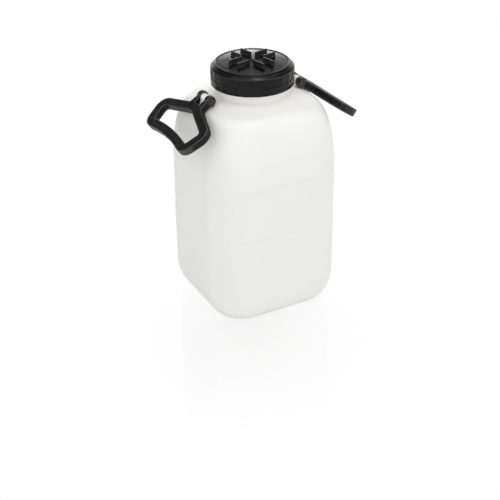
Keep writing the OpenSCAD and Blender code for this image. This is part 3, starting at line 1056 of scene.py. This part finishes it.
def make_fork_arm(side):
    """An arm from the yoke to its knuckle, and the knuckle as a ring."""
    low, high = KNUCKLE_V, KNUCKLE_V + KNUCKLE_T
    rows = []
    for along, thinner, inwards, outwards in FORK_STATIONS:
        half, inner, outer = HANDLE_T / 2 - thinner, low - inwards, high + outwards
        corners = [(inner, -half), (outer, -half), (outer, half), (inner, half)]
        section = rounded([(x, y, BAR_EDGE) for x, y in corners])
        rows.append([Vector((along, side * p.x, p.y)) for p in section])
    bore, floor = PIN_R + KNUCKLE_BORE, KNUCKLE_R - KNUCKLE_GROOVE_DEPTH
    near, far = (high - distance for distance in KNUCKLE_GROOVE)
    groove = [(KNUCKLE_R, far, 0.3), (floor, far + 0.2, 0.2), (floor, near - 0.2, 0.2),
              (KNUCKLE_R, near, 0.3)]
    profile = rounded([(bore, low, 0), (KNUCKLE_R, low, 1.0), *groove, (KNUCKLE_R, high, 1.0),
                       (bore, high, 0)])
    turn = Matrix.Rotation(radians(-90 * side), 4, "X")
    knuckle = revolve("knuckle", profile, 96, matrix=turn)
    return [rows_object("arm", rows, end_caps=True), knuckle]


def make_handles():
    """Both handles in place at rest, the left one a mirror image of the right."""
    right = join([make_bar("bar")] + make_fork_arm(-1) + make_fork_arm(1), "right_bar")
    apply(right, "REMESH", mode="VOXEL", voxel_size=VOXEL * MM, use_smooth_shade=True)
    apply(right, "SMOOTH", factor=0.5, iterations=3)
    right.data.transform(Matrix.Translation((HINGE_X * MM, 0, HINGE_Z * MM))
                         @ Matrix.Rotation(radians(HANDLE_TILT), 4, "Y"))
    left = scene_object("left_bar", right.data.copy())
    left.data.transform(Matrix.Scale(-1, 4, (1, 0, 0)))
    left.data.flip_normals()
    return left, right


# ------------------------ pins and seal

def make_pin(side):
    """A pin with a low head on the near side and a ring mark in the head's face."""
    inner, outer = MARK_R
    mark = [(outer, TIP_V, MARK_DRAFT), (outer - MARK_DRAFT, TIP_V - MARK_DEPTH, MARK_EDGE),
            (inner + MARK_DRAFT, TIP_V - MARK_DEPTH, MARK_EDGE), (inner, TIP_V - 0.1, MARK_EDGE)]
    profile = rounded([(0, -TIP_V, 0), (PIN_R, -TIP_V, PIN_EDGE), (PIN_R, HEAD_V, 0),
                       (HEAD_R, HEAD_V, 0.4), (HEAD_R - HEAD_IN, TIP_V - 0.1, HEAD_EDGE), *mark,
                       (0, TIP_V - 0.05, 0)], closed=False)
    return revolve("pin", profile, 64, matrix=hinge_turn(side))


def make_pin_cap(side):
    """A ring pressed on the pin's far end."""
    bore = PIN_R + PIN_CAP_GAP
    profile = rounded([(bore, -TIP_V, PIN_CAP_EDGE), (HEAD_R - HEAD_IN, -TIP_V + 0.1, HEAD_EDGE),
                       (HEAD_R, -HEAD_V, PIN_CAP_EDGE), (bore, -HEAD_V, 0)])
    return revolve("pin_cap", profile, 64, matrix=hinge_turn(side))


def make_seal():
    """The flat ring between the neck's rim and the cap's plate."""
    outer = seal_high.x
    inner = outer - SEAL_W
    corners = [(inner, seal_low.z), (outer, seal_low.z), (outer, seal_high.z), (inner, seal_high.z)]
    return revolve("seal", rounded([(r, z, SEAL_EDGE) for r, z in corners]))


# ------------------------ assembly

natural = natural_plastic()
cap_black = black_plastic("cap_black", CAP_BLACK, roughness=0.20, grain=700,
                          grain_depth=CAP_GRAIN_DEPTH, paint_light_and_gloss=paint_cap_light)
handle_black = black_plastic("handle_black", HANDLE_BLACK, roughness=0.27, grain=900,
                             grain_depth=HANDLE_GRAIN_DEPTH, paint_light_and_gloss=paint_handle_light)
pin_grey = black_plastic("pin_grey", PIN_GREY, roughness=0.45, grain=900,
                         grain_depth=HANDLE_GRAIN_DEPTH)
rubber = seal_rubber()

finish_piece(make_body(), "drum_skin", "drum", ["body"], natural)
left_bar, right_bar = make_handles()
finish_piece(make_cap(), "cap_top", "cap", ["screw_cap"], cap_black)
finish_piece(make_seal(), "seal_ring", "seal", ["cap_seal"], rubber)
for side, word, bar in ((-1, "left", left_bar), (1, "right", right_bar)):
    finish_piece(bar, f"{word}_grip_bar", f"{word}_grip", [f"{word}_handle"],
                 handle_black)
    finish_piece(make_pin(side), f"{word}_pin", "drum", [f"{word}_hinge_pin"], pin_grey)
    finish_piece(make_pin_cap(side), f"{word}_pin_ring", "drum", [f"{word}_pin_cap"],
                 pin_grey)


# ------------------------ studio

# All lengths of this section are in metres
FLOOR_HALF = 6
PAPER_WHITE = (0.86, 0.86, 0.86)
MIRROR_ROUGHNESS = 0.13
MIRROR_CENTRE = (-0.08, -0.15, 0)
MIRROR_REACH = 0.28  # from that centre, where the mirror image has faded out
MIRROR_SHARE = 0.19

AMBIENT = 0.78
# What reflections see: each stretch of height or cosine runs from one tone to another
HORIZON = (0.16, 0.42, 1.0, 0.18)
OVERHEAD = (0.78, 0.90, 0.0, 1.4)
CARD_DIRECTION = (0.472, 0.881, 0)  # away from the camera, level
CARD_SIDES = (0.86, 0.95, 0.0, 1.0)  # the cosine to that direction
CARD_BOTTOM = (0.47, 0.51, 0.0, 1.0)
CARD_TOP = (0.68, 0.76, 1.0, 0.0)

# Name, place, height that it points at on the drum's axis, width and height, watts
SOFT_BOXES = (("key", (1.6, -1.7, 1.9), 0.25, (1.1, 1.1), 11.5),
              ("fill", (-2.2, -1.3, 1.3), 0.2, (2.4, 1.8), 9),
              ("back", (1.1, 2.3, 0.88), 0.4, (2.4, 0.32), 12),
              ("top", (0.1, -0.4, 2.4), 0.4, (0.55, 0.55), 6),
              ("low", (-1.2, -2.0, 0.8), 0.35, (1.8, 1.0), 7.5))

# The photograph's viewpoint, fitted to its outlines
AZIMUTH, FALL, YAW, ROLL = -28.38, 30.52, 0.23, -0.53  # degrees
CAMERA_DISTANCE = 1.7154
CAMERA_HEIGHT = 1.0912
FOCAL_PIXELS = 1057.53
PHOTO_PIXELS = 500
SENSOR = 36  # in millimetres, as Blender gives it


def make_floor():
    """A white table. Seen directly it glows and mirrors the drum only round its foot."""
    mesh = bpy.data.meshes.new("floor")
    corners = [(x * FLOOR_HALF, y * FLOOR_HALF, 0) for x, y in ((-1, -1), (1, -1), (1, 1), (-1, 1))]
    mesh.from_pydata(corners, [], [(0, 1, 2, 3)])
    mat = bpy.data.materials.new("floor_white")
    mat.use_nodes = True
    tree = mat.node_tree
    tree.nodes.clear()
    output = add(tree, "ShaderNodeOutputMaterial")
    paper = add(tree, "ShaderNodeBsdfDiffuse", Color=(*PAPER_WHITE, 1))
    gloss = add(tree, "ShaderNodeBsdfGlossy", Roughness=MIRROR_ROUGHNESS)
    glow = add(tree, "ShaderNodeEmission", Strength=1.0)
    coords = add(tree, "ShaderNodeTexCoord")
    shifted = vector_node(tree, "SUBTRACT", coords.outputs["Object"], MIRROR_CENTRE)["Vector"]
    away = vector_node(tree, "LENGTH", shifted)["Value"]
    near = ramp(tree, away, 0.0, MIRROR_REACH, MIRROR_SHARE, 0.0)
    seen = mix_shaders(tree, near, glow.outputs[0], gloss.outputs[0])
    rays = add(tree, "ShaderNodeLightPath")
    both = mix_shaders(tree, rays.outputs["Is Camera Ray"], paper.outputs[0], seen)
    tree.links.new(both, output.inputs["Surface"])
    mesh.materials.append(mat)
    floor = scene_object("floor", mesh)


def make_world():
    """White where it is seen, banded in reflections, and even as a light."""
    world = bpy.data.worlds.new("studio")
    bpy.context.scene.world = world
    world.use_nodes = True
    tree = world.node_tree
    tree.nodes.clear()
    output = add(tree, "ShaderNodeOutputWorld")
    rays = add(tree, "ShaderNodeLightPath")
    coords = add(tree, "ShaderNodeTexCoord")
    direction = coords.outputs["Generated"]
    height = axes(tree, direction)["Z"]

    # A bright card high behind the drum, which only the table mirrors
    level = vector_node(tree, "MULTIPLY", direction, (1, 1, 0))["Vector"]
    level = vector_node(tree, "NORMALIZE", level)["Vector"]
    ahead = vector_node(tree, "DOT_PRODUCT", level, CARD_DIRECTION)["Value"]
    card = product(tree, ramp(tree, ahead, *CARD_SIDES), ramp(tree, height, *CARD_BOTTOM))
    card = product(tree, card, ramp(tree, height, *CARD_TOP))
    reflected = largest(tree, ramp(tree, height, *HORIZON), card)
    reflected = largest(tree, reflected, ramp(tree, height, *OVERHEAD))

    even, mirror, white = [add(tree, "ShaderNodeBackground", Color=(1, 1, 1, 1), Strength=strength)
                           for strength in (AMBIENT, 1.0, 1.0)]
    tree.links.new(reflected, mirror.inputs["Strength"])
    light = mix_shaders(tree, rays.outputs["Is Glossy Ray"], even.outputs[0], mirror.outputs[0])
    seen = largest(tree, rays.outputs["Is Camera Ray"], rays.outputs["Is Transmission Ray"])
    tree.links.new(mix_shaders(tree, seen, light, white.outputs[0]), output.inputs["Surface"])


def soft_box(name, place, target_height, size, power):
    """A rectangular area light that points at the drum's axis."""
    light = bpy.data.lights.new(name, "AREA")
    light.shape = "RECTANGLE"
    light.size, light.size_y = size
    light.energy = power
    obj = scene_object(name, light)
    obj.location = place
    aim = Vector((0, 0, target_height)) - Vector(place)
    obj.rotation_euler = aim.to_track_quat("-Z", "Y").to_euler()


def make_camera():
    """A camera at the photograph's viewpoint."""
    azimuth, heading = radians(AZIMUTH), radians(AZIMUTH + YAW)
    down, tilt = radians(FALL), radians(ROLL)
    right = Vector((cos(heading), sin(heading), 0))
    level = Vector((-sin(heading), cos(heading), 0))
    forward = level * cos(down) - Vector((0, 0, 1)) * sin(down)
    up = right.cross(forward)
    right_rolled = right * cos(tilt) + up * sin(tilt)
    up_rolled = up * cos(tilt) - right * sin(tilt)
    camera = bpy.data.cameras.new("camera")
    camera.sensor_width = SENSOR
    camera.lens = FOCAL_PIXELS / PHOTO_PIXELS * SENSOR
    obj = scene_object("camera", camera)
    turn = Matrix((right_rolled, up_rolled, -forward)).transposed()
    place = Vector((sin(azimuth) * CAMERA_DISTANCE, -cos(azimuth) * CAMERA_DISTANCE,
                    CAMERA_HEIGHT))
    obj.matrix_world = Matrix.Translation(place) @ turn.to_4x4()
    bpy.context.scene.camera = obj


make_floor()
make_world()
for box in SOFT_BOXES:
    soft_box(*box)
make_camera()
bpy.context.scene.view_settings.view_transform = "Standard"
